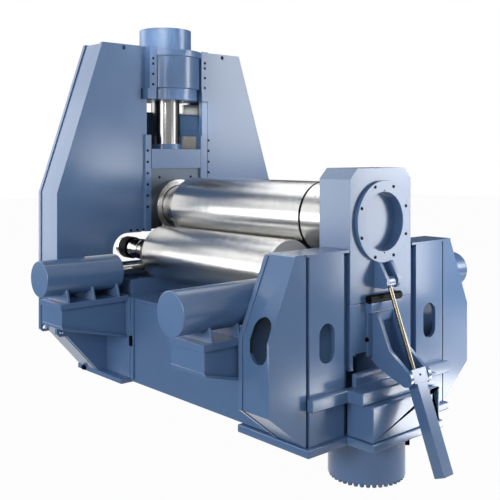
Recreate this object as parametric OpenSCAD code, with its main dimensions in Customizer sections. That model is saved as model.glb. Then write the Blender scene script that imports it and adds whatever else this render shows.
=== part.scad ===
// Three-roll plate rolling machine, millimetres.
// X runs along the rolls towards the drop end, -Y is the front, Z is up, Z = 0 is the foundation face.

/* [Rolls] */
// Top roll body diameter
top_roll_d = 900; // [840:10:940]
// Lower roll body diameter
lower_roll_d = 780; // [740:10:800]
// Half length of the working roll bodies
roll_half = 1332; // [1300:2:1345]
// Axis distance of a lower roll from the middle plane
lower_y = 579; // [560:1:600]
// Axis height of the lower rolls
lower_z = 1833; // [1820:1:1850]
// Gap between the top roll and a lower roll
plate_gap = 24; // [16:1:34]
// Lower roll journal diameter
journal_d = 280; // [240:4:288]
// Top roll far neck diameter
neck_d = 636; // [600:4:660]
// Top roll far journal diameter
far_journal_d = 500; // [440:4:560]
// Width and depth of the groove at the drop end
groove = 16; // [8:1:24]
// Running clearance of a journal in its bearing
journal_gap = 0.6; // [0.4:0.1:1]

/* [Far housing] */
// Far housing face beyond the roll bodies
far_off = 496; // [480:2:510]
// Depth of the far housing
far_depth = 549; // [520:1:580]
// Far housing plate thickness
far_t = 60; // [40:2:70]
// Far housing top beyond the base
far_top_over = 70; // [30:2:110]
// Top edge above the press flange
far_rim = 30; // [10:2:60]
// Far housing knee beyond the base
far_knee_over = 798; // [760:2:830]
// Height of the knee
far_knee_z = 2727; // [2680:2:2780]
// Height of the heel below the bracket
far_heel_z = 716; // [700:2:740]
// Width of the flat heel
far_heel_w = 150; // [120:2:180]
// Far housing foot beyond the base
foot_over = 143; // [110:1:160]
// Top of the far foot plate
far_foot_z = 142; // [130:1:160]
// Far foot plate thickness
far_foot_t = 66; // [50:1:80]
// Half width of the slide slot
slot_w = 640; // [630:1:660]
// Radius of the roll window
window_r = 250; // [230:1:270]
// Half distance between the window's end centres
window_w = 884; // [870:2:910]
// Outer plate's slot below the press collar
back_slot = 165; // [130:5:200]
// Lifting hole diameter
lift_hole_d = 64; // [50:1:80]
// Web plate thickness
web_t = 40; // [30:1:50]
// How far the web lies behind the plate edges
web_inset = 14; // [8:1:24]

/* [Press cylinder] */
// Press axis behind the inner face
press_in = 272; // [262:1:282]
// Upper cap diameter
press_cap_d = 815; // [780:5:860]
// Height of the upper cap
press_cap_h = 344; // [300:2:400]
// Flange diameter
press_flange_d = 1140; // [1110:5:1160]
// Barrel diameter
press_barrel_d = 1080; // [1040:5:1100]
// Lower collar diameter
press_collar_d = 1010; // [960:5:1030]
// Rod length inside the press barrel
rod_in = 220; // [180:5:260]
// Clear rod length above the slide
lift_room = 756; // [700:2:800]
// Flange thickness
press_flange_t = 100; // [80:2:120]
// Flange top to the barrel's bottom
press_barrel_h = 590; // [570:2:610]
// Height of the lower collar
press_collar_h = 180; // [160:2:200]
// Press rod diameter
press_rod_d = 450; // [420:5:470]
// Clearance of the rod to the outer plate
rod_room = 10; // [8:0.5:16]
// Rod foot flange diameter
rod_foot_d = 524; // [490:2:550]
// Rod clearance in the barrel
rod_gap = 0.4; // [0.3:0.1:1]
// Inner edge of the clamp cheeks
cheek_y = 430; // [420:1:440]
// Outer edge of the clamp cheek strips
cheek_w = 560; // [550:1:575]
// Clamp cheeks in front of the inner face
cheek_out = 111; // [104:1:120]

/* [Slide] */
// Half width of the slide block
slide_w = 470; // [460:1:474]
// Side clearance of the slide
slide_gap = 6; // [5.5:0.5:8]
// Slide head in front of the inner face
slide_out = 38; // [32:1:44]
// Top of the slide above the roll axis
slide_up = 880; // [860:2:900]
// Slide head height
slide_head = 296; // [270:2:320]
// Bottom of the slide below the roll axis
slide_down = 340; // [320:2:350]
// Outer edge of the guide strips
guide_w = 584; // [574:1:596]
// Top of the guide strips
guide_z = 3571; // [3540:2:3600]
// Inner face of the slot liners above the guides
liner_in = 533; // [525:1:541]

/* [Shift cylinders] */
// Shift cylinders beyond the roll bodies
car_off = 198; // [194:1:200]
// Axis height of the shift cylinders
shift_z = 1606; // [1600:1:1614]
// Shift cylinder diameter
shift_d = 484; // [470:2:494]
// Shift cylinders beyond the base
shift_out = 1222; // [1200:1:1250]
// Further reach of the cylinders at the drop end
shift_more = 77; // [70:1:90]
// Cylinder end in front of the side of the beam
shift_gap = 44; // [34:1:54]
// Bed end in from the side of the beam
bed_back = 134; // [120:2:150]
// Shift rod diameter
shift_rod_d = 166; // [150:2:180]
// Length of rod that reaches into the cylinder at rest
shift_rod_in = 420; // [400:10:440]
// Room for the rod's stroke in the cylinder
shift_stroke = 420; // [300:10:440]
// Bearing ring diameter of the carriages
ring_d = 348; // [344:2:360]
// Half length of the carriages
car_x = 165; // [150:1:176]
// Half width of the carriages
car_y = 196; // [190:1:204]
// Clearance under the carriages
car_gap = 6; // [5.5:0.5:8]
// Underside of the carriages below the cylinder axis
car_down = 122; // [112:1:130]

/* [Brackets] */
// Length of the brackets
bracket_len = 1009; // [980:1:1040]
// Far bracket side
bracket_far_in = 566; // [540:2:570]
// Near bracket side
bracket_near_in = 620; // [590:2:640]
// Top of the bracket box
bracket_z = 1283; // [1270:1:1300]
// Bottom of the bracket at the free end
bracket_low = 938; // [900:2:970]
// Bottom of the bracket at the root
bracket_root = 690; // [650:2:720]
// Bracket plate thickness
bracket_t = 36; // [24:1:50]
// Bracket cap thickness
bracket_cap = 74; // [66:1:82]
// Overhang of the bracket's top plate and bottom flange
bracket_lip = 40; // [30:1:48]
// Saddle rib thickness
rib_t = 36; // [24:1:50]
// Saddle rib distance from the bracket's ends
rib_end = 96; // [80:1:130]
// Lean of the rib edges
rib_lean = 75; // [60:1:90]

/* [Base] */
// Half width of the base beam
base_w = 1241; // [1225:1:1250]
// Underside of the base beam
base_z = 100; // [96:1:110]
// Top of the base deck
deck_z = 1268; // [1260:1:1276]
// Base plate thickness
base_t = 44; // [30:1:60]
// Half length of the middle sole
sole_x = 160; // [120:2:200]
// Half width of the middle sole's foot
sole_w = 900; // [840:5:940]
// Beam joint from the far housing
joint_in = 658; // [630:2:680]
// Joint flange width
joint_w = 150; // [120:2:170]

/* [Near housing] */
// Near housing face beyond the roll bodies
near_off = 443; // [436:1:450]
// Near inner plate thickness
near_t = 65; // [50:1:72]
// Depth of the near housing
near_depth = 485; // [478:1:492]
// Near housing cap beyond the base
top_over = 184; // [160:1:210]
// Top of the side walls
near_top_z = 2152; // [2130:1:2170]
// Near housing knee beyond the base
knee_over = 565; // [540:1:590]
// Upper knee height
near_knee_z = 1299; // [1270:1:1330]
// Lower knee height
near_low_z = 524; // [500:1:550]
// Near housing foot beyond the base
near_over = 21; // [12:1:28]
// Cap thickness
cap_t = 26; // [20:1:34]
// Near wall thickness
wall_t = 40; // [30:1:50]
// Inner edge of the front plates
front_in = 664; // [655:1:674]
// Front plates' outer edge behind the base face
front_back = 19; // [10:1:30]
// Width of the groove beside the front plates
front_gap = 38; // [28:1:46]
// Oval slot middle height
oval_z = 1178; // [1160:1:1196]
// Oval slot radius
oval_r = 124; // [110:1:134]
// Half distance between the oval's end centres
oval_h = 96; // [80:1:110]
// Kidney hole middle from the inner plate
kidney_x = 240; // [225:1:250]
// Kidney hole radius
kidney_r = 132; // [118:1:138]
// Half distance between the kidney hole's end centres
kidney_h = 112; // [95:1:130]
// Half width of the slider slot
near_slot = 572; // [569:1:578]
// Bottom of the slider slot
near_slot_z = 800; // [780:2:820]
// Base flange thickness
flange_t = 92; // [80:1:95]
// Base flange overhang
flange_o = 50; // [40:1:60]
// Base flange under the beam
flange_in = 625; // [600:1:650]
// Belt bottom
belt_z = 487; // [480:1:494]
// Belt height
belt_h = 144; // [130:1:150]
// Belt depth in front of the housing
belt_d = 82; // [70:1:94]
// Sill in front of the housing
sill_d = 288; // [270:1:300]
// Half width of the step on the sill
step_w = 543; // [530:1:550]
// Depth of the step
step_d = 60; // [50:1:70]
// Height of the step
step_h = 146; // [140:1:150]
// Half width of the front box
box_w = 622; // [610:1:630]
// Width of the upright groove in the front box
box_groove_w = 100; // [90:1:110]
// Depth of the upright groove
box_groove_d = 90; // [70:1:110]
// Front box in front of the housing
box_d = 380; // [360:1:390]
// Pit cylinder diameter
pit_d = 924; // [900:2:940]
// Bottom of the pit cylinder
pit_z = -522; // [-560:2:-480]
// Pit cylinder axis behind the inner face
pit_in = 250; // [240:1:260]
// Lift rod diameter
lift_rod_d = 300; // [260:2:320]

/* [Drop end] */
// Half width of the drop-end block
block_w = 560; // [555:1:564]
// Block face behind the housing's inner face
block_gap = 7; // [5:0.5:12]
// Block face behind the housing's front
block_back = 2; // [1:0.5:6]
// Top of the block above the roll axis
block_up = 630; // [610:1:650]
// Bottom of the block
block_z = 1552; // [1546:1:1558]
// Parting gap above the slider
part_gap = 6; // [5.5:0.5:8]
// Corner chamfer of the block
block_c = 126; // [110:1:140]
// Ring cover diameter
cover_d = 966; // [940:2:980]
// Ring cover opening
cover_in = 700; // [680:2:720]
// Ring cover height
cover_h = 44; // [34:1:54]
// Recess depth behind the block face
cover_deep = 82; // [70:1:94]
// Nose radius of the top roll at the block
nose_r = 300; // [280:1:310]
// Nose length
nose_l = 190; // [170:1:200]
// Clearance around the nose
nose_gap = 8; // [6:0.5:10]
// Hinge axis in front of the block
hinge_out = 42; // [40:1:44]
// Hinge axis height
hinge_z = 1588; // [1584:1:1592]
// Hinge pin diameter
hinge_d = 96; // [90:1:100]
// Half length of the hinge pin
hinge_w = 290; // [285:1:300]
// Slider underside
slider_z = 980; // [970:1:992]
// Width of the slider legs
leg_w = 54; // [46:1:62]
// Room between the legs and the step of the sill
leg_room = 21; // [18:1:24]

/* [Tilt cylinder] */
// Clevis pin in front of the block
pin_out = 100; // [96:1:104]
// Clevis pin height
pin_z = 1776; // [1772:1:1780]
// Clevis pin diameter
pin_d = 64; // [56:1:70]
// Trunnion in front of the block
trunnion_out = 488; // [480:1:496]
// Trunnion height
trunnion_z = 742; // [738:1:746]
// Trunnion pin diameter
trunnion_d = 96; // [80:1:110]
// Inner face of the bracket arms
arm_in = 138; // [134:1:144]
// Bracket arm thickness
arm_t = 54; // [44:1:60]
// Half width of the arm base plate
arm_base_w = 276; // [268:1:282]
// Underside of the arm base plate
arm_base_z = 925; // [910:1:940]
// Thickness of the arm base plate
arm_base_t = 24; // [18:1:30]
// Inner face of the clevis ears
ear_in = 80; // [76:1:84]
// Ear thickness
ear_t = 52; // [44:1:54]
// Tilt rod diameter
tilt_rod_d = 52; // [44:1:58]
// Tilt barrel side in the tilting plane
barrel_a = 138; // [120:1:150]
// Tilt barrel side across it
barrel_b = 172; // [160:1:184]
// Tilt barrel length below the trunnion
barrel_l = 1090; // [1050:2:1120]
// Clearance of the open pivot
open_gap = 7; // [6:0.5:9]

/* [Part to show] */
// Sub-part to build

/* [Hidden] */
$fn = 96;
seat = 0.3;
far_in_x = -(roll_half + far_off);
far_out_x = far_in_x - far_depth;
press_x = far_in_x - press_in;
cheek_x = far_in_x + cheek_out;
slide_x = far_in_x + slide_out;
shift_x = roll_half + car_off;
near_in_x = roll_half + near_off;
near_x = near_in_x + near_depth;
sill_x = near_x + sill_d;
box_x = near_x + box_d;
pit_x = near_in_x + pit_in;
flange_x = near_in_x - flange_in;
joint_x = far_in_x + joint_in;
block_in = near_in_x + block_gap;
block_x = near_x - block_back;
hinge_x = block_x + hinge_out;
pin_x = block_x + pin_out;
trunnion_x = block_x + trunnion_out;
bracket_end = base_w + bracket_len;
shift_end = base_w + shift_out;
shift_in = base_w + shift_gap;
near_foot_w = base_w + near_over;
near_knee_w = base_w + knee_over;
near_top_w = base_w + top_over;
far_foot_w = base_w + foot_over;
rib_pitch = (bracket_len - 2 * rib_end - 37) / 2;
top_r = top_roll_d / 2;
low_r = lower_roll_d / 2;
top_z = lower_z + sqrt(pow(top_r + low_r + plate_gap, 2) - pow(lower_y, 2));
press_collar_z = top_z + slide_up + lift_room;
press_barrel_z = press_collar_z + press_collar_h;
press_flange_z = press_barrel_z + press_barrel_h;
press_top_z = press_flange_z + press_cap_h;
far_top_z = press_flange_z + far_rim;
back_slot_z = press_collar_z - back_slot;
far_top_w = base_w + far_top_over;
far_knee_w = base_w + far_knee_over;
front_out = base_w - front_back;
oval_y = (front_in + front_out) / 2;
base_in = near_in_x - seat;
far_mid_in = far_in_x - far_t;
far_mid_out = far_out_x + far_t;
far_heel_y = far_knee_w - far_heel_w;
window_z = lower_z + 17;
tilt_a = atan2(trunnion_x - pin_x, pin_z - trunnion_z);
tilt_l = sqrt(pow(trunnion_x - pin_x, 2) + pow(pin_z - trunnion_z, 2));
block_top = top_z + block_up;
slider_top = block_z - part_gap;
leg_z = belt_z + belt_h + step_h + leg_room;

paint = [0.25, 0.37, 0.55];
steel = [0.75, 0.75, 0.76];

// Prism with a Y-Z outline, from x0 to x1
module yz(x0, x1, pts) {
    translate([x0, 0, 0])
        rotate([90, 0, 90])
            linear_extrude(x1 - x0)
                polygon(pts);
}

// Prism with an X-Z outline, from y0 to y1
module xz(y0, y1, pts) {
    translate([0, y1, 0])
        rotate([90, 0, 0])
            linear_extrude(y1 - y0)
                polygon(pts);
}

// Box between two corners
module bx(a, b) {
    translate(a)
        cube([b[0] - a[0], b[1] - a[1], b[2] - a[2]]);
}

// Round bar along X
module rx(x0, x1, y, z, r) {
    translate([x0, y, z])
        rotate([0, 90, 0])
            cylinder(h = x1 - x0, r = r);
}

// Round bar along Y
module ry(y0, y1, x, z, r) {
    translate([x, y1, z])
        rotate([90, 0, 0])
            cylinder(h = y1 - y0, r = r);
}

// Round bar along Z
module rz(z0, z1, x, y, r) {
    translate([x, y, z0])
        cylinder(h = z1 - z0, r = r);
}

// Same piece on the other side of the middle plane
module flip() {
    mirror([0, 1, 0])
        children();
}

// Base

module base_front_plate() {
    color(paint)
        bx([far_in_x + seat, -base_w, base_z], [base_in, -base_w + base_t, deck_z - base_t - seat]);
}

module base_rear_plate() {
    color(paint)
        flip()
            bx([far_in_x + seat, -base_w, base_z], [base_in, -base_w + base_t, deck_z - base_t - seat]);
}

module base_deck() {
    bed = shift_z - car_down - car_gap;
    color(paint) {
        bx([far_in_x + seat, -base_w, deck_z - base_t], [base_in, base_w, deck_z]);
        for (s = [-1, 1])
            bx([s * shift_x - car_x, bed_back - base_w, deck_z - 1], [s * shift_x + car_x, base_w - bed_back, bed]);
    }
}

module base_sole() {
    w = base_w - base_t - seat;
    color(paint) {
        bx([-sole_x, -w, base_z], [sole_x, w, base_z + base_t]);
        bx([-sole_x, -sole_w, 0], [sole_x, sole_w, base_z + 1]);
    }
}

module joint_half() {
    w = joint_w / 2 - 12;
    z0 = far_foot_z;
    bx([joint_x - joint_w / 2, -base_w - 26, z0], [joint_x - joint_w / 2 + w, -base_w - seat, deck_z - 4]);
    bx([joint_x + joint_w / 2 - w, -base_w - 26, z0], [joint_x + joint_w / 2, -base_w - seat, deck_z - 4]);
    bx([joint_x - joint_w / 2, -base_w - 14, z0], [joint_x + joint_w / 2, -base_w - seat, deck_z - 320]);
}

module joint_front() {
    color(paint)
        joint_half();
}

module joint_rear() {
    color(paint)
        flip()
            joint_half();
}

module far_foot() {
    color(paint)
        bx([far_out_x - 24, -far_foot_w, far_foot_z - far_foot_t], [joint_x - 40, far_foot_w, base_z - seat]);
    color(paint)
        bx([far_out_x - 24, -far_foot_w, base_z - seat - 1], [far_in_x + seat - 1, far_foot_w, far_foot_z - seat]);
    color(paint)
        for (s = [-1, 1])
            bx([far_in_x - 2, s * (base_w + far_foot_w) / 2 - (far_foot_w - base_w) / 2 + seat, base_z - 2],
               [joint_x - 40, s * (base_w + far_foot_w) / 2 + (far_foot_w - base_w) / 2 - seat, far_foot_z - seat]);
}

// Far housing

function far_half() = [[far_top_w, far_top_z], [far_knee_w, far_knee_z], [far_knee_w, far_heel_z + 40],
    [far_knee_w - 40, far_heel_z], [far_heel_y, far_heel_z], [far_foot_w - 6, far_foot_z]];

function far_outline() = concat(far_half(), [for (i = [len(far_half()) - 1:-1:0]) [-far_half()[i][0], far_half()[i][1]]]);

module far_plate(x0, x1, low) {
    difference() {
        yz(x0, x1, far_outline());
        bx([x0 - 1, -slot_w, low], [x1 + 1, slot_w, far_top_z + 1]);
        bx([x0 - 1, -window_w, window_z - window_r], [x1 + 1, window_w, window_z + window_r]);
        for (s = [-1, 1]) {
            rx(x0 - 1, x1 + 1, s * window_w, window_z, window_r);
            rx(x0 - 1, x1 + 1, s * (far_top_w - 363), far_top_z - 53, lift_hole_d / 2);
            rx(x0 - 1, x1 + 1, s * (far_knee_w - 68), far_heel_z + 58, lift_hole_d / 2);
        }
    }
}

module far_inner_plate() {
    color(paint)
        far_plate(far_mid_in, far_in_x, window_z);
}

module far_outer_plate() {
    color(paint)
        difference() {
            far_plate(far_out_x, far_mid_out, back_slot_z);
            rz(top_z + slide_up - slide_head, back_slot_z + 1, press_x, 0, press_rod_d / 2 + rod_room);
        }
}

module far_web_half() {
    e = web_inset;
    t = web_t + e;
    yz(far_mid_out + seat, far_mid_in - seat, [[-far_top_w + e, far_top_z - e], [-far_knee_w + e, far_knee_z],
        [-far_knee_w + e, far_heel_z + 130], [-far_knee_w + e + 200, far_heel_z + 130 - 214],
        [-far_foot_w - 20 + e, far_foot_z], [-far_foot_w - 20 + t + 14, far_foot_z],
        [-far_knee_w + t, far_heel_z + 160],
        [-far_knee_w + t, far_knee_z - 8], [-far_top_w + t + 6, far_top_z - e - web_t],
        [-slot_w - e, far_top_z - e - web_t], [-slot_w - e, far_top_z - e]]);
}

module far_web_front() {
    color(paint)
        far_web_half();
}

module far_web_rear() {
    color(paint)
        flip()
            far_web_half();
}

// Press cylinder

module press_cylinder() {
    color(paint)
        difference() {
            union() {
                rz(press_flange_z - 1, press_top_z, press_x, 0, press_cap_d / 2);
                rz(press_flange_z - press_flange_t, press_flange_z, press_x, 0, press_flange_d / 2);
                rz(press_barrel_z, press_flange_z - press_flange_t + 1, press_x, 0, press_barrel_d / 2);
                rz(press_collar_z, press_barrel_z + 1, press_x, 0, press_collar_d / 2);
            }
            rz(press_collar_z - 1, press_flange_z, press_x, 0, press_rod_d / 2 + rod_gap);
        }
}

module cheek_half() {
    low = press_barrel_z - 20;
    difference() {
        union() {
            bx([far_out_x + 6, -slot_w + seat, low], [far_in_x - 6, -cheek_w + 20, far_top_z - 6]);
            bx([far_in_x - 40, -cheek_w, low], [cheek_x, -cheek_y, far_top_z - 6]);
            bx([far_in_x - 40, -slot_w + seat, low], [far_in_x - 6, -cheek_y, far_top_z - 6]);
            bx([far_in_x - 40, -slot_w + 46, press_collar_z + 4], [cheek_x, -cheek_y - 10, low + 1]);
        }
        rz(press_collar_z - 1, press_barrel_z + 1 + seat, press_x, 0, press_collar_d / 2 + seat);
        rz(low - 1, far_top_z, press_x, 0, press_barrel_d / 2 + seat);
        rz(press_flange_z - press_flange_t - seat, far_top_z, press_x, 0, press_flange_d / 2 + seat);
    }
}

module cheek_front() {
    color(paint)
        cheek_half();
}

module cheek_rear() {
    color(paint)
        flip()
            cheek_half();
}

module guide_half() {
    low = window_z + window_r + 6;
    in = slide_w + slide_gap;
    bx([far_mid_in - 30, -slot_w + seat, low], [far_in_x - 6, -in, guide_z]);
    bx([far_in_x - 7, -guide_w, low], [slide_x - 4, -in, guide_z]);
    bx([far_mid_in - 30, -slot_w + seat, guide_z - 1], [far_in_x - 6, -liner_in, press_collar_z + 4 - seat]);
}

module guide_front() {
    color(paint)
        guide_half();
}

module guide_rear() {
    color(paint)
        flip()
            guide_half();
}

// Shift cylinders and brackets; s = -1 far, 1 near

module shift_cyl(s) {
    difference() {
        ry(-shift_end - (s > 0 ? shift_more : 0), -shift_in, s * shift_x, shift_z, shift_d / 2);
        ry(-shift_in - shift_rod_in - shift_stroke, -shift_in + 1, s * shift_x, shift_z, shift_rod_d / 2 + rod_gap);
    }
}

module cyl_far_front() {
    color(paint)
        shift_cyl(-1);
}

module cyl_near_front() {
    color(paint)
        shift_cyl(1);
}

module cyl_far_rear() {
    color(paint)
        flip()
            shift_cyl(-1);
}

module cyl_near_rear() {
    color(paint)
        flip()
            shift_cyl(1);
}

module bracket(x0, x1, xc) {
    t = bracket_t;
    top = bracket_z - bracket_cap;
    root = -base_w - seat;
    side = [[-bracket_end, top], [-bracket_end, bracket_low], [root, bracket_root], [root, top]];
    low = [[-bracket_end - 12, bracket_low + t], [-bracket_end - 12, bracket_low],
        [root, bracket_root], [root, bracket_root + t]];
    yz(x0, x0 + t, side);
    yz(x1 - t - bracket_lip, x1 - bracket_lip, side);
    bx([x0, -bracket_end, bracket_low], [x1 - bracket_lip, -bracket_end + t, top]);
    yz(x0, x1, low);
    bx([x0, -bracket_end - 40, top - 1], [x1, root, bracket_z]);
    difference() {
        for (i = [0:2])
            xz(-bracket_end + rib_end + i * rib_pitch - rib_t / 2, -bracket_end + rib_end + i * rib_pitch + rib_t / 2,
                [[x0 + 16, bracket_z - 1], [x1 - 16, bracket_z - 1], [x1 - 16 - rib_lean, shift_z - 96],
                 [x0 + 16 + rib_lean, shift_z - 96]]);
        ry(-shift_end, -shift_in, xc, shift_z, shift_d / 2 + seat);
    }
}

module bracket_far_front() {
    color(paint)
        bracket(far_in_x + seat, far_in_x + bracket_far_in, -shift_x);
}

module bracket_near_front() {
    color(paint)
        bracket(near_in_x - bracket_near_in, near_in_x - seat, shift_x);
}

module bracket_far_rear() {
    color(paint)
        flip()
            bracket(far_in_x + seat, far_in_x + bracket_far_in, -shift_x);
}

module bracket_near_rear() {
    color(paint)
        flip()
            bracket(near_in_x - bracket_near_in, near_in_x - seat, shift_x);
}

// Near housing

function near_half() = [[near_top_w, near_top_z], [near_knee_w, near_knee_z], [near_knee_w, near_low_z],
    [near_foot_w, flange_t + seat]];

function near_grow(e) = [for (p = near_half()) [p[0] + e, p[1]]];

function near_outline(e) = concat(near_grow(e), [for (i = [3:-1:0]) [-near_grow(e)[i][0], near_grow(e)[i][1]]]);

module near_inner_plate() {
    color(paint)
        difference() {
            yz(near_in_x, near_in_x + near_t, near_outline(14));
            bx([near_in_x - 1, -near_slot, near_slot_z], [near_in_x + near_t + 1, near_slot, near_top_z + 1]);
        }
}

module near_shell_half() {
    x0 = near_in_x + near_t + seat;
    t = wall_t;
    in = front_out + front_gap;
    kx = x0 + kidney_x;
    kr = kidney_r;
    difference() {
        union() {
            yz(x0, near_x - 16, concat([for (p = near_half()) [-p[0], p[1]]],
                [[-in, flange_t + seat], [-in, near_top_z]]));
            bx([x0, -near_top_w, near_top_z - 1], [near_x - 16, -near_slot - 8, near_top_z + cap_t]);
            bx([near_x - 17, -front_out - front_gap, near_top_z], [near_x + 4, -near_slot - 8, near_top_z + cap_t]);
        }
        yz(x0 - 1, near_x - 16 - t, [[-near_top_w + t + 8, near_top_z - t], [-near_knee_w + t, near_knee_z - 8],
            [-near_knee_w + t, near_low_z + 14], [-near_foot_w + t + 24, flange_t + t], [-near_slot, flange_t + t],
            [-near_slot, near_top_z - t]]);
        bx([near_x - 18 - t, -in, flange_t - 1], [near_x, 0, near_top_z - seat]);
        bx([x0 - 1, -near_slot - 8, 0], [near_x + 9, 0, near_top_z + 90]);
        for (s = [-1, 1])
            ry(-near_knee_w - 200, -near_knee_w + 320, kx, near_knee_z + s * kidney_h, kr);
        bx([kx - kr, -near_knee_w - 200, near_knee_z - kidney_h], [kx + kr, -near_knee_w + 320, near_knee_z + kidney_h]);
    }
}

module near_shell_front() {
    color(paint)
        near_shell_half();
}

module near_shell_rear() {
    color(paint)
        flip()
            near_shell_half();
}

module near_plate_half() {
    difference() {
        bx([near_x - wall_t - 16, -front_out, flange_t + seat], [near_x, -front_in, near_top_z - 2 * seat]);
        for (s = [-1, 1])
            rx(near_x - 90, near_x + 1, -oval_y, oval_z + s * oval_h, oval_r);
        bx([near_x - 90, -oval_y - oval_r, oval_z - oval_h], [near_x + 1, -oval_y + oval_r, oval_z + oval_h]);
    }
}

module near_plate_front() {
    color(paint)
        near_plate_half();
}

module near_plate_rear() {
    color(paint)
        flip()
            near_plate_half();
}

module near_guide_half() {
    x0 = near_in_x + near_t + seat;
    bx([x0, -front_in - 60, flange_t + seat], [near_x - wall_t - 16 - seat, -block_w - slide_gap, near_top_z - wall_t - 1]);
}

module near_guide_front() {
    color(paint)
        near_guide_half();
}

module near_guide_rear() {
    color(paint)
        flip()
            near_guide_half();
}

module near_belt() {
    z1 = belt_z + belt_h;
    color(paint) {
        for (s = [-1, 1])
            bx([near_x + seat, s * (front_out + 40 + front_in) / 2 - (front_out + 50 - front_in) / 2, belt_z],
               [near_x + belt_d, s * (front_out + 40 + front_in) / 2 + (front_out + 50 - front_in) / 2, z1]);
        bx([near_x + seat, -front_in - 26, belt_z], [sill_x, front_in + 26, z1]);
        bx([near_x + seat, -step_w, z1 - 1], [near_x + step_d, step_w, z1 + step_h]);
    }
}

module near_box() {
    color(paint)
        difference() {
            bx([near_x + seat, -box_w, flange_t + seat], [box_x, box_w, belt_z - seat]);
            bx([box_x - box_groove_d, box_w - 38 - box_groove_w, flange_t + 12],
               [box_x + 1, box_w - 38, belt_z - 12]);
        }
}

module near_base() {
    color(paint)
        difference() {
            union() {
                bx([flange_x, -near_foot_w - flange_o + 20, 0], [near_x + flange_o, near_foot_w + flange_o - 20, flange_t]);
                bx([near_x, -box_w - 31, 0], [box_x + 25, box_w + 31, flange_t]);
            }
            rz(-1, flange_t + 1, pit_x, 0, pit_d / 2 + seat);
        }
}

module pit_cylinder() {
    color(paint)
        difference() {
            union() {
                rz(pit_z, flange_t, pit_x, 0, pit_d / 2);
                bx([pit_x + 300, pit_d / 2 - 200, -60], [pit_x + 420, pit_d / 2 - 60, -4]);
            }
            rz(pit_z + 60, flange_t + 1, pit_x, 0, lift_rod_d / 2 + rod_gap);
        }
}

// Moving pieces

module far_slide() {
    x0 = far_mid_out + 30;
    face = far_in_x - 4;
    color(paint)
        difference() {
            union() {
                bx([x0, -slide_w, top_z - slide_down], [face, slide_w, top_z + slide_up]);
                bx([face - 1, -slide_w, top_z + slide_up - slide_head], [slide_x, slide_w, top_z + slide_up]);
                rx(face - 1, slide_x + 60, 0, top_z, neck_d / 2 + 90);
            }
            rx(x0 - 1, slide_x + 61, 0, top_z, far_journal_d / 2 + journal_gap);
            rx(slide_x - 40, slide_x + 61, 0, top_z, neck_d / 2 + 10);
        }
}

module press_rod() {
    z0 = top_z + slide_up + seat;
    color(steel) {
        difference() {
            rz(z0, z0 + 82, press_x, 0, rod_foot_d / 2);
            bx([far_out_x - 1, -rod_foot_d, z0 - 1], [far_mid_out + rod_room, rod_foot_d, z0 + 83]);
        }
        rz(z0 + 81, press_collar_z + rod_in, press_x, 0, press_rod_d / 2);
    }
}

module top_roll() {
    x1 = block_in - 14;
    color(steel)
        difference() {
            union() {
                rx(-roll_half, x1, 0, top_z, top_r);
                rx(slide_x - 30, -roll_half + 1, 0, top_z, neck_d / 2);
                rx(far_mid_out + 60, slide_x - 29, 0, top_z, far_journal_d / 2);
                translate([x1 - 1, 0, top_z])
                    rotate([0, 90, 0])
                        cylinder(h = nose_l, r1 = nose_r, r2 = nose_r - nose_l);
            }
            difference() {
                rx(roll_half - groove / 2, roll_half + groove / 2, 0, top_z, top_r + 1);
                rx(roll_half - groove, roll_half + groove, 0, top_z, top_r - groove);
            }
        }
}

module lower_roll() {
    color(steel) {
        rx(-roll_half, roll_half - 20, -lower_y, lower_z, low_r);
        rx(far_out_x - 40, -roll_half + 1, -lower_y, lower_z, journal_d / 2);
        rx(roll_half - 21, near_in_x - 12, -lower_y, lower_z, journal_d / 2);
    }
}

module front_roll() {
    lower_roll();
}

module rear_roll() {
    flip()
        lower_roll();
}

module carriage(s) {
    xc = s * shift_x;
    z0 = shift_z - car_down;
    difference() {
        union() {
            rx(xc - car_x, xc + car_x, -lower_y, lower_z, ring_d / 2);
            bx([xc - car_x, -lower_y - ring_d / 2 + 6, z0], [xc + car_x, -lower_y + ring_d / 2 - 6, lower_z]);
            bx([xc - car_x, -lower_y - car_y, z0], [xc + car_x, -lower_y + car_y, z0 + 200]);
            ry(-shift_in - shift_rod_in, -lower_y - car_y + 1, xc, shift_z, shift_rod_d / 2);
        }
        rx(xc - car_x - 1, xc + car_x + 1, -lower_y, lower_z, journal_d / 2 + journal_gap);
    }
}

module car_far_front() {
    color(steel)
        carriage(-1);
}

module car_near_front() {
    color(steel)
        carriage(1);
}

module car_far_rear() {
    color(steel)
        flip()
            carriage(-1);
}

module car_near_rear() {
    color(steel)
        flip()
            carriage(1);
}

module near_slider() {
    x0 = near_in_x + 10;
    color(paint)
        difference() {
            union() {
                bx([x0, -block_w, slider_z], [block_x, block_w, slider_top]);
                for (s = [-1, 1])
                    bx([pit_x, s * (block_w - leg_w / 2) - leg_w / 2, leg_z],
                       [block_x, s * (block_w - leg_w / 2) + leg_w / 2, slider_z + 1]);
                rz(pit_z + 180, slider_z + 1, pit_x, 0, lift_rod_d / 2);
                bx([block_x - 1, -hinge_w + 6, slider_top - 106], [hinge_x + 40, hinge_w - 6, slider_top]);
            }
            ry(-hinge_w, hinge_w, hinge_x, hinge_z, hinge_d / 2 + journal_gap);
        }
}

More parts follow.
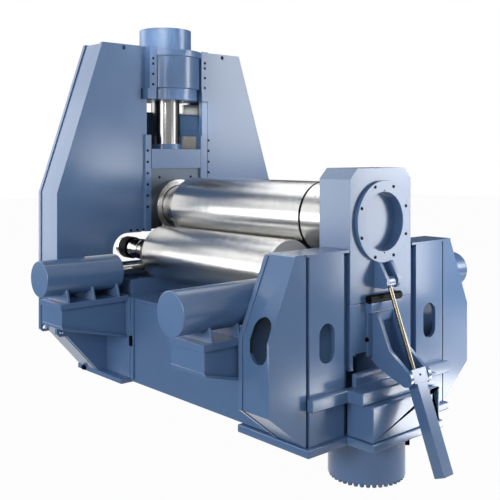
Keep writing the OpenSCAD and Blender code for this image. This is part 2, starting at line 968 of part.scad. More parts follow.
module tilt_arms() {
    x0 = block_x + seat;
    color(paint)
        difference() {
            for (s = [-1, 1])
                union() {
                    y0 = s * (arm_in + arm_t / 2) - arm_t / 2;
                    xz(y0, y0 + arm_t, [[x0, slider_top - 126], [x0 + 62, slider_top - 126], [x0 + 108, slider_top - 162],
                        [x0 + 266, trunnion_z + 280], [trunnion_x + 40, trunnion_z + 74], [trunnion_x + 52, trunnion_z - 66],
                        [trunnion_x - 20, trunnion_z - 86], [x0 + 136, trunnion_z + 44], [x0, trunnion_z + 130]]);
                    ry(y0, y0 + arm_t, trunnion_x, trunnion_z, trunnion_d / 2 + 42);
                }
            ry(-arm_in - arm_t - 1, arm_in + arm_t + 1, trunnion_x, trunnion_z, trunnion_d / 2 + journal_gap);
        }
    color(paint)
        union() {
            bx([x0, -arm_in - 1, slider_top - 220], [x0 + 60, arm_in + 1, slider_top - 126]);
            bx([x0, -arm_base_w, arm_base_z], [x0 + arm_base_t, arm_base_w, slider_top - 106 - seat]);
        }
}

module drop_block() {
    c = block_c;
    color(paint)
        difference() {
            union() {
                yz(block_in, block_x, [[-block_w, block_z], [-block_w, block_top - c], [-block_w + c, block_top],
                    [block_w - c, block_top], [block_w, block_top - c], [block_w, block_z]]);
                for (s = [-1, 1])
                    xz(s * (ear_in + ear_t / 2) - ear_t / 2, s * (ear_in + ear_t / 2) + ear_t / 2,
                        [[block_x - 1, pin_z - 70], [block_x - 1, pin_z + 252], [block_x + 56, pin_z + 252],
                         [pin_x + 84, pin_z + 40], [pin_x + 84, pin_z - 20], [pin_x + 40, pin_z - 70]]);
                ry(-ear_in - ear_t - 6, ear_in + ear_t + 6, pin_x, pin_z, pin_d / 2);
            }
            ry(-hinge_w - 2, hinge_w + 2, hinge_x, hinge_z, hinge_d / 2 + seat);
            rx(block_x - cover_deep, block_x + 1, 0, top_z, cover_in / 2);
            rx(block_x, block_x + cover_h + 200, 0, top_z, cover_d / 2 + seat);
            translate([block_in - 1, 0, top_z])
                rotate([0, 90, 0])
                    cylinder(h = nose_l + nose_gap, r1 = nose_r + nose_gap + 8, r2 = nose_r - nose_l + nose_gap);
        }
}

module hinge_pin() {
    color([0.05, 0.05, 0.06])
        ry(-hinge_w, hinge_w, hinge_x, hinge_z, hinge_d / 2);
}

module drop_cover() {
    color(paint)
        difference() {
            rx(block_x + seat, block_x + cover_h, 0, top_z, cover_d / 2);
            rx(block_x - 1, block_x + cover_h + 1, 0, top_z, cover_in / 2);
        }
}

// Tilting frame: local +Z runs from the trunnion to the clevis pin
module on_tilt() {
    translate([trunnion_x, 0, trunnion_z])
        rotate([0, -tilt_a, 0])
            children();
}

module tilt_barrel() {
    color(paint)
        on_tilt()
            difference() {
                union() {
                    bx([-barrel_a / 2, -barrel_b / 2, -barrel_l], [barrel_a / 2, barrel_b / 2, -60]);
                    bx([-barrel_a / 2 - 6, -arm_in + 8, -74], [barrel_a / 2 + 6, arm_in - 8, 82]);
                    ry(-arm_in - arm_t - 4, arm_in + arm_t + 4, 0, 0, trunnion_d / 2);
                }
                rz(-barrel_l + 40, 90, 0, 0, tilt_rod_d / 2 + rod_gap);
            }
}

module tilt_rod() {
    color(steel)
        on_tilt()
            difference() {
                union() {
                    rz(-barrel_l + 180, tilt_l - 20, 0, 0, tilt_rod_d / 2);
                    ry(-ear_in + 8, ear_in - 8, 0, tilt_l, pin_d / 2 + open_gap + 26);
                }
                ry(-ear_in, ear_in, 0, tilt_l, pin_d / 2 + open_gap);
            }
}

base_front_plate();
base_rear_plate();
base_deck();
base_sole();
joint_front();
joint_rear();
far_foot();
far_inner_plate();
far_outer_plate();
far_web_front();
far_web_rear();
press_cylinder();
cheek_front();
cheek_rear();
guide_front();
guide_rear();
cyl_far_front();
cyl_near_front();
cyl_far_rear();
cyl_near_rear();
bracket_far_front();
bracket_near_front();
bracket_far_rear();
bracket_near_rear();
near_inner_plate();
near_shell_front();
near_shell_rear();
near_plate_front();
near_plate_rear();
near_guide_front();
near_guide_rear();
near_belt();
near_box();
near_base();
pit_cylinder();
far_slide();
press_rod();
top_roll();
front_roll();
rear_roll();
car_far_front();
car_near_front();
car_far_rear();
car_near_rear();
near_slider();
tilt_arms();
drop_block();
hinge_pin();
drop_cover();
tilt_barrel();
tilt_rod();
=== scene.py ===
import math

import bmesh
import bpy
from mathutils import Matrix, Vector


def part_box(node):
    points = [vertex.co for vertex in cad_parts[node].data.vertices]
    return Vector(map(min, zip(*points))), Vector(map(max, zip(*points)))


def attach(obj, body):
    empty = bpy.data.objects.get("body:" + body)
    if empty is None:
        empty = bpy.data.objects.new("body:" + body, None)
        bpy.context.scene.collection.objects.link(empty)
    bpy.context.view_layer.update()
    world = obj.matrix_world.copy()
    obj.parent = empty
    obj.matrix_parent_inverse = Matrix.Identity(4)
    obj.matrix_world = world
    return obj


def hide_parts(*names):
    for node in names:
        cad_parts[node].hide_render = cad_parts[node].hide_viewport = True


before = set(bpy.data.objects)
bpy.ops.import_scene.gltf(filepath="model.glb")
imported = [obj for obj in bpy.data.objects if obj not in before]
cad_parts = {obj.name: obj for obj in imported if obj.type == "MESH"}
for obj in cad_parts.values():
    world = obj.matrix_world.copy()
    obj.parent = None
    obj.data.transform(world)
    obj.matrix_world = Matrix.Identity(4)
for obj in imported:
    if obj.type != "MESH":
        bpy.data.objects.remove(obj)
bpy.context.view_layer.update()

# Base beam. Two long plates of flame-cut steel stand on the foundation under a thick deck and are welded to it as
# one box. The whole beam is shot-blasted and sprayed in a satin blue two-pack paint with a slight orange peel.


class Wire:
    """A shader socket that takes part in sums."""

    def __init__(self, tree, socket):
        self.tree = tree
        self.socket = socket

    def sum(self, operation, a, b):
        step = self.tree.nodes.new("ShaderNodeMath")
        step.operation = operation
        for place, value in zip(step.inputs, (a, b)):
            if isinstance(value, Wire):
                self.tree.links.new(value.socket, place)
            else:
                place.default_value = value
        return Wire(self.tree, step.outputs[0])

    def __add__(self, other):
        return self.sum("ADD", self, other)

    def __radd__(self, other):
        return self.sum("ADD", other, self)

    def __sub__(self, other):
        return self.sum("SUBTRACT", self, other)

    def __rsub__(self, other):
        return self.sum("SUBTRACT", other, self)

    def __mul__(self, other):
        return self.sum("MULTIPLY", self, other)

    def __rmul__(self, other):
        return self.sum("MULTIPLY", other, self)


class Recipe:
    """A set of shader nodes, built up node by node."""

    def __init__(self, tree):
        self.tree = tree

    def feed(self, inputs, sockets):
        for key, value in sockets.items():
            if isinstance(value, Wire):
                self.tree.links.new(value.socket, inputs[key])
            else:
                inputs[key].default_value = value

    def node(self, kind, settings, sockets, out):
        step = self.tree.nodes.new("ShaderNode" + kind)
        for key, value in settings.items():
            setattr(step, key, value)
        self.feed(step.inputs, sockets)
        return Wire(self.tree, step.outputs[out])


class Finish(Recipe):
    """A finish of the machine, with the shader that carries it."""

    def __init__(self, name):
        self.material = bpy.data.materials.new(name)
        self.material.use_nodes = True
        super().__init__(self.material.node_tree)
        self.shader = self.tree.nodes["Principled BSDF"]

    def tone(self, share, dark, light):
        # A colour Mix node takes its factor at 0 and its colours at 6 and 7, and gives the blend at 2.
        return self.node("Mix", {"data_type": "RGBA"}, {0: share, 6: dark, 7: light}, 2)

    def surface(self, sockets):
        self.feed(self.shader.inputs, sockets)
        return self.material


def sprayed(name, dark, light, rough, ripple):
    coat = Finish(name)
    at = coat.node("TexCoord", {}, {}, "Object")
    cloud = coat.node("TexNoise", {}, {"Vector": at, "Scale": 1.7, "Detail": 5.0, "Roughness": 0.6}, "Fac")
    peel = coat.node("TexNoise", {}, {"Vector": at, "Scale": 150.0, "Detail": 3.0}, "Fac")
    speck = coat.node("TexNoise", {}, {"Vector": at, "Scale": 420.0, "Detail": 1.0}, "Fac")
    tone = coat.tone(cloud * 0.7 + speck * 0.3, dark, light)
    bump = coat.node("Bump", {}, {"Strength": ripple, "Distance": 0.0008, "Height": peel}, "Normal")
    return coat.surface({"Base Color": tone, "Roughness": rough - 0.05 + cloud * 0.10, "Normal": bump})


deep_blue = (0.071, 0.138, 0.276, 1)
pale_blue = (0.094, 0.172, 0.326, 1)
blue = sprayed("satin_blue", deep_blue, pale_blue, 0.21, 0.10)

crease_angle = math.radians(40)
merge_gap = 0.00002
flat_angle = 0.01
corner_angle = 0.5


def finish_piece(mesh_bm, name, body, material, nodes=()):
    mesh = bpy.data.meshes.new(name)
    mesh_bm.to_mesh(mesh)
    mesh_bm.free()
    mesh.materials.append(material)
    for side in mesh.polygons:
        side.use_smooth = True
    mesh.set_sharp_from_angle(angle=crease_angle)
    piece = bpy.data.objects.new(name, mesh)
    bpy.context.scene.collection.objects.link(piece)
    lay = piece.modifiers.new("flat_faces", "WEIGHTED_NORMAL")
    lay.keep_sharp = True
    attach(piece, body)
    if nodes:
        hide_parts(*nodes)
    return piece


def round_edges(bm, edges, wide, rows, clamp=False):
    bmesh.ops.bevel(bm, geom=edges, offset=wide, offset_type="OFFSET", affect="EDGES", segments=rows, profile=0.5,
                    material=-1, clamp_overlap=clamp)


def dress(node, body, material, edge=0.006, rows=2):
    bm = bmesh.new()
    bm.from_mesh(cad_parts[node].data)
    bmesh.ops.remove_doubles(bm, verts=bm.verts, dist=merge_gap)
    bmesh.ops.dissolve_limit(bm, angle_limit=flat_angle, verts=bm.verts, edges=bm.edges)
    corners = [e for e in bm.edges if len(e.link_faces) == 2 and e.calc_face_angle(0) > corner_angle]
    round_edges(bm, corners, edge, rows, clamp=True)
    return finish_piece(bm, "skin_" + node, body, material, (node,))


for name in ("base_front_plate", "base_rear_plate", "base_deck", "base_sole", "far_foot"):
    dress(name, "frame", blue)

# Bolted joints of the base. The beam and the far foot meet at two upright flanges with a black steel shear key in
# each, and one large hexagon bolt with its washer holds each end of the far foot.


def blackened(name):
    skin = Finish(name)
    at = skin.node("TexCoord", {}, {}, "Object")
    cloud = skin.node("TexNoise", {}, {"Vector": at, "Scale": 30.0, "Detail": 4.0}, "Fac")
    tone = skin.tone(cloud, (0.0008, 0.0014, 0.0024, 1), (0.0030, 0.0042, 0.0062, 1))
    return skin.surface({"Base Color": tone, "Roughness": 0.42 + cloud * 0.18, "Specular IOR Level": 0.05})


oxide = blackened("black_oxide")


def many(name, body, head, places, material):
    bm = bmesh.new()
    for place in places:
        old = set(bm.verts)
        bm.from_mesh(head)
        bmesh.ops.transform(bm, matrix=place, verts=[v for v in bm.verts if v not in old])
    return finish_piece(bm, name, body, material)


def facing(x, y, z, way):
    return Matrix.Translation((x, y, z)) @ Vector(way).to_track_quat("Z", "Y").to_matrix().to_4x4()


def hexagon_head(across, high, washer):
    bm = bmesh.new()
    corner = across / 1.732
    bmesh.ops.create_cone(bm, cap_ends=True, segments=6, radius1=corner, radius2=corner, depth=high,
                          matrix=Matrix.Translation((0, 0, washer + high / 2)))
    rim = [e for e in bm.edges if all(v.co.z > washer + high * 0.9 for v in e.verts)]
    round_edges(bm, rim, high * 0.16, 1)
    bmesh.ops.create_cone(bm, cap_ends=True, segments=20, radius1=across * 0.78, radius2=across * 0.74, depth=washer,
                          matrix=Matrix.Translation((0, 0, washer / 2)))
    bmesh.ops.recalc_face_normals(bm, faces=bm.faces)
    mesh = bpy.data.meshes.new("hexagon_head")
    bm.to_mesh(mesh)
    bm.free()
    return mesh


def sawn_bar(bm, place, size, edge):
    bar = bmesh.ops.create_cube(bm, size=1.0, matrix=place @ Matrix.Diagonal((*size, 1)))
    round_edges(bm, list(dict.fromkeys(e for v in bar["verts"] for e in v.link_edges)), edge, 2)


for name in ("joint_front", "joint_rear"):
    dress(name, "frame", blue)

foot_bolt = hexagon_head(0.060, 0.034, 0.008)
foot_bolt_x, foot_bolt_z = -2.209, 0.118
low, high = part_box("far_foot")
many("far_foot_bolts", "frame", foot_bolt,
     [facing(foot_bolt_x, low[1], foot_bolt_z, (0, -1, 0)), facing(foot_bolt_x, high[1], foot_bolt_z, (0, 1, 0))],
     oxide)

key_x, key_y, key_z = -1.137, 1.277, 0.674
key_size = (0.050, 0.034, 0.139)
key_bm = bmesh.new()
for s in (-1, 1):
    sawn_bar(key_bm, Matrix.Translation((key_x, s * key_y, key_z)), key_size, 0.005)
finish_piece(key_bm, "shear_keys", "frame", oxide)

# Far housing. Two tall flame-cut plates stand either side of folded webs, welded all round. The inner plate is
# slotted for the slide; two lifting holes are burnt through near the top and two at the heels.

for name in ("far_inner_plate", "far_outer_plate", "far_web_front", "far_web_rear"):
    dress(name, "frame", blue)

# Stay bars of the far housing. Four sawn bars of bare machined steel are let in behind the slot, welded to the
# inside of the outer plate, and stiffen it each side of the press rod.


def turned(name, dark, light, rough, stretch, marks=0.05, depth=0.0003, metal=1.0):
    steel = Finish(name)
    at = steel.node("TexCoord", {}, {}, "Object")
    along = steel.node("Mapping", {}, {"Vector": at, "Scale": stretch}, "Vector")
    lines = steel.node("TexNoise", {}, {"Vector": along, "Scale": 3.0, "Detail": 6.0, "Roughness": 0.7}, "Fac")
    cloud = steel.node("TexNoise", {}, {"Vector": at, "Scale": 2.2, "Detail": 3.0}, "Fac")
    tone = steel.tone(lines * 0.6 + cloud * 0.4, dark, light)
    bump = steel.node("Bump", {}, {"Strength": marks, "Distance": depth, "Height": lines}, "Normal")
    return steel.surface({"Base Color": tone, "Metallic": metal, "Normal": bump,
                          "Roughness": rough - 0.05 + lines * 0.08 + cloud * 0.03})


bright = turned("machined_stay", (0.62, 0.61, 0.60, 1), (0.76, 0.75, 0.73, 1), 0.46, (4.0, 12.0, 1.0), metal=0.15)
stay_x, stay_y = -2.290, 0.752
stay_thick, stay_long = 0.054, 0.53
stay_bm = bmesh.new()
for y in (stay_y, -stay_y):
    for z, tall in ((4.010, 0.166), (3.470, 0.205)):
        sawn_bar(stay_bm, Matrix.Translation((stay_x, y, z)), (stay_thick, stay_long, tall), 0.006)
finish_piece(stay_bm, "stay_bars", "frame", bright)

# Clamp cheeks and slide guides. Thick machined strips are screwed into the slot of the inner plate with sunk
# hexagon-socket screws; the cheeks hold the press cylinder and the guides carry the slide.


def socket_head(wide, proud):
    bm = bmesh.new()
    bmesh.ops.create_cone(bm, cap_ends=True, segments=18, radius1=wide / 2, radius2=wide / 2, depth=proud,
                          matrix=Matrix.Translation((0, 0, proud / 2)))
    top = [f for f in bm.faces if f.normal.z > 0.9]
    round_edges(bm, list(top[0].edges), wide * 0.06, 1)
    top = [f for f in bm.faces if f.normal.z > 0.9]
    bmesh.ops.inset_individual(bm, faces=top, thickness=wide * 0.17)
    well = bmesh.ops.extrude_discrete_faces(bm, faces=top)["faces"]
    bmesh.ops.translate(bm, verts=list({v for f in well for v in f.verts}), vec=(0, 0, -proud * 0.7))
    mesh = bpy.data.meshes.new("socket_head")
    bm.to_mesh(mesh)
    bm.free()
    return mesh


for name in ("cheek_front", "cheek_rear", "guide_front", "guide_rear"):
    dress(name, "frame", blue, edge=0.004)

cap_screw = socket_head(0.038, 0.008)
to_drop_end = (1, 0, 0)
cheek_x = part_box("cheek_front")[1][0]
guide_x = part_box("guide_front")[1][0]
plate_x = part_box("far_inner_plate")[1][0]
cheek_screw_y, cheek_screw_z = 0.498, (4.725, 4.643, 4.489, 4.331)
guide_screw_y, guide_screw_z = 0.545, (3.329, 3.157, 2.986, 2.817, 2.647, 2.478)
liner_screw_y, liner_screw_z = 0.662, (3.500, 3.330, 3.155, 2.984)
sill_screw_y, sill_screw_z = (0.822, 0.708, 0.592), 2.137
head_screw_y, head_screw_z = 0.525, 4.779
spots = [facing(cheek_x, y, z, to_drop_end) for y in (-cheek_screw_y, cheek_screw_y) for z in cheek_screw_z]
spots += [facing(guide_x, -guide_screw_y, z, to_drop_end) for z in guide_screw_z]
spots += [facing(guide_x, guide_screw_y, z, to_drop_end) for z in guide_screw_z[3:]]
spots += [facing(plate_x, liner_screw_y, z, to_drop_end) for z in liner_screw_z]
spots += [facing(plate_x, s * y, sill_screw_z, to_drop_end) for s in (-1, 1) for y in sill_screw_y]
spots += [facing(plate_x, s * head_screw_y, head_screw_z, to_drop_end) for s in (-1, 1)]
many("clamp_screws", "frame", cap_screw, spots, oxide)

# Press cylinder. A turned forging hangs in the cheeks by its flange, with the bolted cap above and the heavy gland
# collar below; it is painted with the housing.

dress("press_cylinder", "frame", blue, edge=0.008, rows=3)

# Shift cylinders and their brackets. Each roll is pushed by hydraulic cylinders that lie on three ribs of a welded
# bracket, which is bolted to the side of the beam.

for end in ("far", "near"):
    for side in ("front", "rear"):
        dress("cyl_%s_%s" % (end, side), "frame", blue, edge=0.012, rows=3)
        dress("bracket_%s_%s" % (end, side), "frame", blue, edge=0.005)

# Weld beads. Short fillets of filler steel run along the foot of every rib and around the bracket roots, painted over
# with the rest, so that their ripples still show.

weld = sprayed("painted_weld", deep_blue, pale_blue, 0.30, 0.9)


def bead(bm, start, end, thick):
    start, end = Vector(start), Vector(end)
    run = end - start
    place = Matrix.Translation((start + end) / 2) @ run.to_track_quat("Z", "Y").to_matrix().to_4x4()
    bmesh.ops.create_cone(bm, cap_ends=True, segments=8, radius1=thick, radius2=thick, depth=run.length, matrix=place)


shelf_z = 1.283
first_rib_y = 2.250 - 0.096
rib_pitch = 0.390
rib_half = 0.018
root_y, root_low_z, root_high_z = 1.2415, 0.70, 1.25
bead_inset = 0.03
bead_thick, root_bead_thick = 0.009, 0.008
weld_bm = bmesh.new()
for end in ("far", "near"):
    for side, s in (("front", -1), ("rear", 1)):
        low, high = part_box("bracket_%s_%s" % (end, side))
        for k in range(3):
            y = s * (first_rib_y - k * rib_pitch)
            for gap in (-rib_half, rib_half):
                bead(weld_bm, (low[0] + bead_inset, y + gap, shelf_z), (high[0] - bead_inset, y + gap, shelf_z),
                     bead_thick)
        root = s * root_y
        for x in (low[0] + 0.002, high[0] - 0.038):
            bead(weld_bm, (x, root, root_low_z), (x, root, root_high_z), bead_thick)
        bead(weld_bm, (low[0], root, shelf_z), (high[0], root, shelf_z), root_bead_thick)
finish_piece(weld_bm, "bracket_welds", "frame", weld)

# Drop-end housing. Two bent side shells with a kidney-shaped hand hole stand between the inner plate and the face
# plates; the slotted face plates, the belt, the sill box and the base flange are welded on in front. The inside
# faces of the closed boxes are painted near-black, a painted shade for the dark cavity behind the holes.

# Painted shade: a near-black blue coat that stands in for the shade inside the closed boxes.
cavity_shade = sprayed("painted_cavity_shade", (0.012, 0.020, 0.034, 1), (0.018, 0.028, 0.046, 1), 0.60, 0.3)


def refinish(piece, material, chosen):
    piece.data.materials.append(material)
    last = len(piece.data.materials) - 1
    for face in piece.data.polygons:
        if chosen(face):
            face.material_index = last


box_inner_y, box_outer_y, box_top_z = 0.62, 1.82, 2.15
heart_x, heart_y, heart_z = 2.02, 1.2, 1.1
for name in ("near_guide_front", "near_guide_rear"):
    dress(name, "frame", blue)
# The faces inside the closed boxes get the painted cavity shade.
refinish(dress("near_inner_plate", "frame", blue), cavity_shade,
         lambda f: f.normal.x > 0.9 and box_inner_y < abs(f.center.y) < box_outer_y and f.center.z < box_top_z)
for side, s in (("front", -1), ("rear", 1)):
    refinish(dress("near_plate_" + side, "frame", blue), cavity_shade, lambda f: f.normal.x < -0.9)
    heart = Vector((heart_x, s * heart_y, heart_z))
    refinish(dress("near_shell_" + side, "frame", blue), cavity_shade,
             lambda f: abs(f.normal.z) < 0.7 and f.normal.dot(heart - f.center) > 0.05)
for name in ("near_belt", "near_box", "near_base"):
    dress(name, "frame", blue, edge=0.016, rows=3)

# Pit cylinder. The turned lift cylinder hangs under the base flange into the pit; its bottom cover is held by a close
# ring of hexagon bolts, and a black port block sits on its side.

dress("pit_cylinder", "frame", blue, edge=0.010, rows=3)
pit_x, pit_bottom_z = 2.025, -0.522
pit_bolts, pit_bolt_circle = 38, 0.428
ring_bolt = hexagon_head(0.046, 0.034, 0.006)
places = []
for k in range(pit_bolts):
    turn = math.radians(k * 360 / pit_bolts)
    places.append(facing(pit_x + pit_bolt_circle * math.cos(turn), pit_bolt_circle * math.sin(turn), pit_bottom_z,
                         (0, 0, -1)))
many("pit_cover_bolts", "frame", ring_bolt, places, blue)
port_turn = math.radians(48.3)
port_size = (0.085, 0.08, 0.20)
port_at = Matrix.Translation((2.340, 0.352, -0.120)) @ Matrix.Rotation(port_turn, 4, "Z")
port_bm = bmesh.new()
sawn_bar(port_bm, port_at, port_size, 0.008)
finish_piece(port_bm, "pit_port", "frame", oxide)

# Slide and press rod. The slide is a painted block with a planed lower face and a ground steel bearing ring, which
# carries the far end of the top roll. The press rod above it is hard-chromed and ground, with a flanged foot that is
# painted and screwed down.

chrome = turned("chrome_rod", (0.34, 0.335, 0.33, 1), (0.46, 0.455, 0.45, 1), 0.15, (8.0, 8.0, 0.5))
planed = turned("planed_slide", (0.055, 0.070, 0.090, 1), (0.080, 0.097, 0.120, 1), 0.42, (1.0, 14.0, 2.0))
bearing = turned("bearing_ring", (0.50, 0.495, 0.485, 1), (0.62, 0.615, 0.60, 1), 0.26, (60.0, 0.6, 0.6), 1.0, 0.0012)
top_axis_z = 2.4743
ring_back_x, ring_reach = -1.826, 0.46
planed_front_x, planed_top_z = -1.80, 3.06
slide = dress("far_slide", "far_slide", blue)
refinish(slide, planed, lambda f: f.normal.x > 0.9 and f.center.x < planed_front_x and f.center.z < planed_top_z)
refinish(slide, bearing,
         lambda f: f.center.x > ring_back_x and math.hypot(f.center.y, f.center.z - top_axis_z) < ring_reach)
press_chrome = turned("press_chrome", (0.15, 0.15, 0.15, 1), (0.27, 0.265, 0.26, 1), 0.20, (3.0, 3.0, 0.2))
rod_foot_top_z = 3.45
refinish(dress("press_rod", "far_slide", press_chrome), blue, lambda f: f.center.z < rod_foot_top_z)
slide_screw_y, slide_screw_z, slide_screw_sunk = 0.301, 2.920, 0.004
many("slide_screws", "far_slide", cap_screw,
     [facing(plate_x - slide_screw_sunk, s * slide_screw_y, slide_screw_z, to_drop_end) for s in (-1, 1)],
     oxide)

# Rolls. Forged steel, turned and ground bright, with fine turning marks around the barrel. The top roll has a groove
# close to the drop end, filled by a black ring that is painted shade for the groove; the lower rolls run out through
# the far housing on stepped journals with chromed sleeves and a black collar.

ground = turned("ground_roll", (0.58, 0.575, 0.56, 1), (0.68, 0.675, 0.66, 1), 0.20, (160.0, 0.6, 0.6), 1.0, 0.0013)
dress("top_roll", "top_roll", ground, edge=0.008, rows=3)
for name in ("front_roll", "rear_roll"):
    refinish(dress(name, name, ground, edge=0.010, rows=3), bright, lambda f: f.normal.x > 0.7)


def hoops(name, body, y, z, profiles, material):
    bm = bmesh.new()
    for profile in profiles:
        chain = [bm.verts.new((x, y, z + r)) for x, r in profile]
        rims = [bm.edges.new((a, b)) for a, b in zip(chain, chain[1:] + chain[:1])]
        bmesh.ops.spin(bm, geom=chain + rims, cent=(0, y, z), axis=(1, 0, 0), dvec=(0, 0, 0), angle=math.tau,
                       steps=72, use_merge=True)
    bmesh.ops.recalc_face_normals(bm, faces=bm.faces)
    finish_piece(bm, name, body, material)


# Painted shade: a black ring fills the groove and stands in for its shadow.
groove_shade_profile = ((1.313, 0.436), (1.351, 0.436), (1.351, 0.4506), (1.313, 0.4506))
hoops("groove_shade_ring", "top_roll", 0, top_axis_z, [groove_shade_profile], oxide)

lower_axis_y, lower_axis_z = 0.579, 1.833
journal = 0.139
sleeve_edge = 0.006
sleeve_profiles = []
for x, wide, r in ((-1.90, 0.11, 0.152), (-2.03, 0.09, 0.146)):
    sleeve_profiles.append(((x - wide / 2, journal), (x + wide / 2, journal), (x + wide / 2, r - sleeve_edge),
                            (x + wide / 2 - sleeve_edge, r), (x - wide / 2 + sleeve_edge, r),
                            (x - wide / 2, r - sleeve_edge)))
collar_profile = ((-2.311, journal), (-2.115, journal), (-2.115, 0.156), (-2.124, 0.165), (-2.302, 0.165),
                  (-2.311, 0.156))
for body, s in (("front_roll", -1), ("rear_roll", 1)):
    hoops(body + "_sleeves", body, s * lower_axis_y, lower_axis_z, sleeve_profiles, chrome)
    hoops(body + "_collar", body, s * lower_axis_y, lower_axis_z, [collar_profile], oxide)

# Roll carriages. Machined bearing blocks slide on the beds of the deck; each is drawn by a chromed rod that enters its
# shift cylinder.

machined = turned("machined_block", (0.26, 0.265, 0.28, 1), (0.36, 0.365, 0.38, 1), 0.36, (1.0, 12.0, 1.0))
block_reach_y = 0.777
for end in ("far", "near"):
    for side in ("front", "rear"):
        refinish(dress("car_%s_%s" % (end, side), side + "_carriage", machined), chrome,
                 lambda f: abs(f.center.y) > block_reach_y)

# Drop end. The slider, with its bolted tilt arms, rises with the top roll; the block on it holds the roll's tapered
# nose and tips outwards about a black pin. The ring cover is screwed to its face with eight socket screws and set by
# two dowels.

dress("near_slider", "near_slider", blue)
dress("tilt_arms", "near_slider", blue, edge=0.010, rows=3)
dress("drop_block", "drop_end", blue, edge=0.007, rows=3)
dress("drop_cover", "drop_end", blue, edge=0.005)
dress("hinge_pin", "drop_end", oxide, edge=0.008, rows=3)
cover_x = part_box("drop_cover")[1][0]
cover_screws, cover_screw_circle, dowel_circle = 8, 0.441, 0.366
places = []
for k in range(cover_screws):
    turn = math.radians(22.5 + 45 * k)
    places.append(facing(cover_x, cover_screw_circle * math.cos(turn),
                         top_axis_z + cover_screw_circle * math.sin(turn), to_drop_end))
many("cover_screws", "drop_end", cap_screw, places, oxide)
many("cover_dowels", "drop_end", socket_head(0.018, 0.004),
     [facing(cover_x, 0, top_axis_z + s * dowel_circle, to_drop_end) for s in (-1, 1)], oxide)
arm_bolt_x, arm_bolt_y, arm_bolt_z = 2.269, 0.276, 1.122
many("arm_bolts", "near_slider", hexagon_head(0.036, 0.022, 0.005),
     [facing(arm_bolt_x, s * arm_bolt_y, arm_bolt_z, (0, s, 0)) for s in (-1, 1)], oxide)
plug_x, plug_y, plug_z = 2.2583, 0.115, (1.341, 1.187)
many("slider_plugs", "near_slider", cap_screw,
     [facing(plug_x, s * plug_y, z, to_drop_end) for s in (-1, 1) for z in plug_z], oxide)

# Tilt cylinder. A square-barrelled hydraulic cylinder hangs by its trunnion between the arms; a black plug in its
# head is painted shade for the dark port hole. Its chromed rod ends in a painted eye and pulls the clevis on the
# block.

rod_steel = turned("warm_chrome", (0.10, 0.092, 0.072, 1), (0.25, 0.225, 0.172, 1), 0.16, (30.0, 30.0, 0.5))
dress("tilt_barrel", "tilt_barrel", blue, edge=0.009, rows=3)
eye_tall = 0.150
eye_foot_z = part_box("tilt_rod")[1][2] - eye_tall
refinish(dress("tilt_rod", "tilt_rod", rod_steel), blue, lambda f: f.center.z > eye_foot_z)
trunnion = Vector((2.746, 0, 0.742))
rod_run, rod_rise = 0.388, 1.034
lean = math.atan2(rod_run, rod_rise)
out = Vector((math.cos(lean), 0, math.sin(lean)))
up = Vector((-math.sin(lean), 0, math.cos(lean)))
# Painted shade: the black plug stands in for the shade of the port hole.
port_shade_at = trunnion + out * 0.075 + up * 0.012
many("barrel_port_shade", "tilt_barrel", socket_head(0.026, 0.006), [facing(*port_shade_at, out)], oxide)

# Studio. A pale floor lies below the pit cylinder, with soft panels at the right, above and at the front left. Dark
# boards and bright cards that only reflections see give the ground steel its bands and light the drop end.

floor_z = -0.58
board_z = -0.57
card_z = -0.565
floor_half = 60.0
floor_glow = 0.97
sky_low, sky_fall = 0.60, 0.45
white = (1, 1, 1, 1)


def stand(name, sheet_bm, finish):
    mesh = bpy.data.meshes.new(name)
    sheet_bm.to_mesh(mesh)
    sheet_bm.free()
    mesh.materials.append(finish.material)
    sheet = bpy.data.objects.new(name, mesh)
    bpy.context.scene.collection.objects.link(sheet)
    return sheet


def seen_rays(recipe):
    camera_ray = recipe.node("LightPath", {}, {}, "Is Camera Ray")
    glossy_ray = recipe.node("LightPath", {}, {}, "Is Glossy Ray")
    return camera_ray + glossy_ray + recipe.node("LightPath", {}, {}, "Is Transmission Ray")


def mix_in(finish, share, other):
    main = Wire(finish.tree, finish.shader.outputs[0])
    both = finish.node("MixShader", {}, {0: share, 1: main, 2: other}, 0)
    finish.tree.links.new(both.socket, finish.tree.nodes["Material Output"].inputs["Surface"])


pale = Finish("pale_floor")
pale.surface({"Base Color": (0.44, 0.44, 0.44, 1), "Roughness": 0.9, "Specular IOR Level": 0.0})
mix_in(pale, seen_rays(pale) * floor_glow, pale.node("Emission", {}, {"Color": white}, 0))
floor_bm = bmesh.new()
bmesh.ops.create_grid(floor_bm, x_segments=1, y_segments=1, size=floor_half)
bmesh.ops.translate(floor_bm, verts=floor_bm.verts, vec=(0, 0, floor_z))
stand("floor", floor_bm, pale)

world = bpy.data.worlds.new("studio")
bpy.context.scene.world = world
world.use_nodes = True
sky = Recipe(world.node_tree)
seen = seen_rays(sky)
rise = sky.node("SeparateXYZ", {}, {0: sky.node("TexCoord", {}, {}, "Generated")}, "Z")
soft = sky_low - rise.sum("MAXIMUM", rise, 0.0) * sky_fall
sky.feed(sky.tree.nodes["Background"].inputs, {"Color": white, "Strength": seen + (1.0 - seen) * soft})


def lamp(name, at, aim, size, power, wash, spread=180):
    light = bpy.data.lights.new(name, "AREA")
    light.shape = "RECTANGLE"
    light.size, light.size_y = size
    light.energy = power
    light.diffuse_factor = wash
    light.spread = math.radians(spread)
    holder = bpy.data.objects.new(name, light)
    holder.location = at
    holder.rotation_euler = (Vector(aim) - Vector(at)).to_track_quat("-Z", "Y").to_euler()
    holder.visible_camera = False
    bpy.context.scene.collection.objects.link(holder)


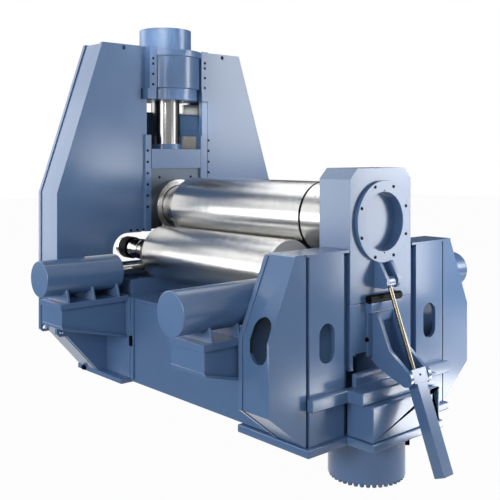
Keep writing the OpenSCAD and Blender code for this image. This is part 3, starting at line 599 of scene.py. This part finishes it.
lamp("strip_right", (4.26, 2.54, 2.33), (2.16, 0.14, 2.33), (1.35, 2.5), 76, 0.14)
lamp("streak_front", (8.9, -8.3, 6.6), (-2.1, 0, 4.6), (0.8, 5.0), 100, 0.05)
lamp("wall_right", (9.5, 14.0, 6.2), (-1.8, 0.8, 3.2), (8.0, 6.4), 1350, 0.1)
lamp("panel_top", (-4.0, 1.2, 9.5), (-1.0, 0.3, 2.0), (10.0, 5.0), 250, 0.1)
lamp("panel_left", (-8.0, -3.7, 5.3), (-2.0, -1.4, 4.4), (4.0, 8.0), 250, 0.30)
lamp("panel_front", (-5.3, -8.5, 2.6), (1.5, -1.9, 2.3), (4.0, 2.8), 200, 0.5)
lamp("fill_front", (3.5, -13.0, 4.5), (0, 0, 2.2), (5.0, 3.5), 720, 1.0)
lamp("slot_light", (0.5, -1.7, 4.35), (-2.25, 0.68, 3.82), (0.4, 0.4), 0.9, 1.0, spread=12)
lamp("cap_light", (5.2, -7.6, 8.0), (-2.1, -0.2, 5.35), (0.6, 0.6), 6.5, 1.0, spread=9)


def flag(name, corners, tone, one_way=False):
    sheet_bm = bmesh.new()
    sheet_bm.faces.new([sheet_bm.verts.new(c) for c in corners])
    cloth = Finish(name)
    cloth.surface({"Base Color": (0, 0, 0, 1), "Roughness": 1.0, "Specular IOR Level": 0.0,
                   "Emission Color": (*tone, 1), "Emission Strength": 1.0})
    if one_way:
        mix_in(cloth, cloth.node("NewGeometry", {}, {}, "Backfacing"), cloth.node("BsdfTransparent", {}, {}, 0))
    board = stand(name, sheet_bm, cloth)
    board.visible_camera = False
    board.visible_diffuse = False
    board.visible_transmission = False
    board.visible_shadow = False


def swung(x, y, z, reach, turn):
    return x, y - reach * math.cos(math.radians(turn)), z + reach * math.sin(math.radians(turn))


board_x = (-22, 14)
front_far, front_low, front_high = 8.0, 42, 69
flag("flag_front", [swung(x, 0, 2.4, front_far, turn)
                    for x, turn in zip(board_x + board_x[::-1], (front_low, front_low, front_high, front_high))],
     (0.05, 0.06, 0.075))
flag("flag_rear", [(-30, 10, board_z), (6, 10, board_z), (6, 10, 15.0), (-30, 10, 15.0)], (0.10, 0.10, 0.105))
flag("flag_floor", [(-22, -14, board_z), (14, -14, board_z), (14, -2.2, board_z), (-22, -2.2, board_z)],
     (0.16, 0.165, 0.17))
card_x = -1.715
card_ends = ((0.47, 36), (1.15, 36), (1.15, -7), (0.47, -7))
for name, y, z in (("card_top_roll", 0, top_axis_z), ("card_front_roll", -lower_axis_y, lower_axis_z)):
    flag(name, [swung(card_x, y, z, reach, turn) for reach, turn in card_ends], (1.1, 1.1, 1.1), one_way=True)
flag("flag_floor_right", [(5.6, 1.0, board_z), (20, 1.0, board_z), (20, 16, board_z), (5.6, 16, board_z)],
     (0.30, 0.31, 0.33))
flag("card_floor", [(3.2, 1.4, card_z), (5.4, 1.4, card_z), (5.4, 4.4, card_z), (3.2, 4.4, card_z)],
     (12.5, 12.5, 12.5))
flag("card_plate", [(3.4, 4.4, card_z), (4.8, 4.4, card_z), (8.3, 9.6, card_z), (5.2, 9.6, card_z)], (3.2, 3.2, 3.2))

# Camera. It stands level off the drop end at the photo's viewpoint, turned towards the middle of the machine, with the
# picture shifted downwards so that uprights stay upright.

yaw = math.radians(48.3)
eye_at = (8.2407, -7.4102, 3.2377)
eye = bpy.data.cameras.new("photo_camera")
eye.sensor_width = 36.0
eye.lens = 57.33
eye.shift_y = -0.1868
camera = bpy.data.objects.new("photo_camera", eye)
camera.matrix_world = Matrix(((math.cos(yaw), 0, math.sin(yaw), eye_at[0]),
                              (math.sin(yaw), 0, -math.cos(yaw), eye_at[1]),
                              (0, 1, 0, eye_at[2]),
                              (0, 0, 0, 1)))
bpy.context.scene.collection.objects.link(camera)
bpy.context.scene.camera = camera
bpy.context.scene.view_settings.view_transform = "Standard"
